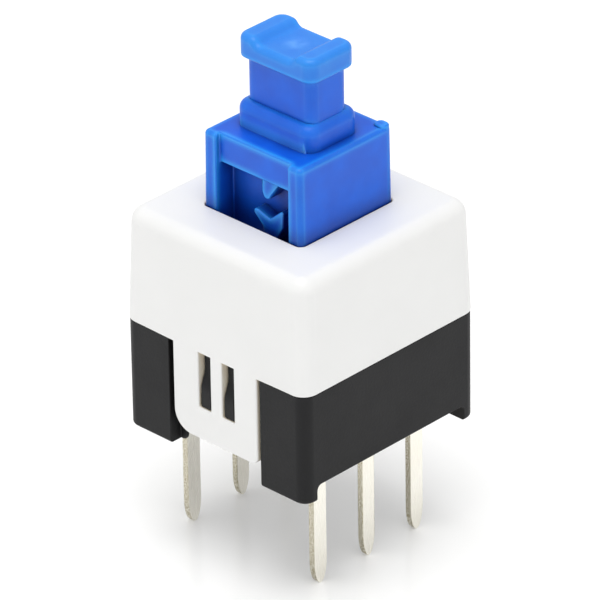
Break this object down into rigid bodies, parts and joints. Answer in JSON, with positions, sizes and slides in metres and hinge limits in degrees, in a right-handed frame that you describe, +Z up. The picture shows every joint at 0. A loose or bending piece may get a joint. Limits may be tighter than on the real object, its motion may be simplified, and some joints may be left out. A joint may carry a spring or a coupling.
{
  "type": "latching push button switch",
  "caption": "Small square latching push button switch for a circuit board: white clip-on cover, black base, blue saddle-headed plunger with a heart-cam window, flat blade terminals below.",
  "frame": {"origin": "centre of the body, on the circuit board that the base's four corner feet stand on; the terminals reach below it", "axes": "+Z up along the plunger's stroke, towards its head; -Y the front, where the cam track's opening is; +X to the right"},
  "size_m": [0.0072, 0.0072, 0.0157],
  "materials": {
    "cover_plastic": "satin moulded, white",
    "base_plastic": "matt moulded, black",
    "plunger_plastic": "satin moulded, blue",
    "terminal_metal": "bright plated",
    "spring_steel": "drawn wire",
    "wire_steel": "drawn wire",
    "contact_metal": "stamped strip"
  },
  "bodies": {
    "housing": {"cover": "cover_plastic", "base": "base_plastic", "return_spring": "spring_steel", "terminal_left_front": "terminal_metal", "terminal_left_middle": "terminal_metal", "terminal_left_rear": "terminal_metal", "terminal_right_front": "terminal_metal", "terminal_right_middle": "terminal_metal", "terminal_right_rear": "terminal_metal"},
    "plunger": {"plunger": "plunger_plastic", "contact_left": "contact_metal", "contact_right": "contact_metal"},
    "latch_wire": {"latch_pin": "wire_steel"}
  },
  "joints": [
    {"name": "plunger_press", "type": "slide", "parent": "housing", "child": "plunger", "axis": [0, 0, -1], "range_m": [0, 0.0022], "stiffness_N_per_m": 500, "deforming": ["return_spring"]},
    {"name": "latch_swing", "type": "hinge", "parent": "housing", "child": "latch_wire", "pos_m": [0.00017, 0, 0.00085], "axis": [0, 1, 0], "range_deg": [0, 21.9]}
  ]
}
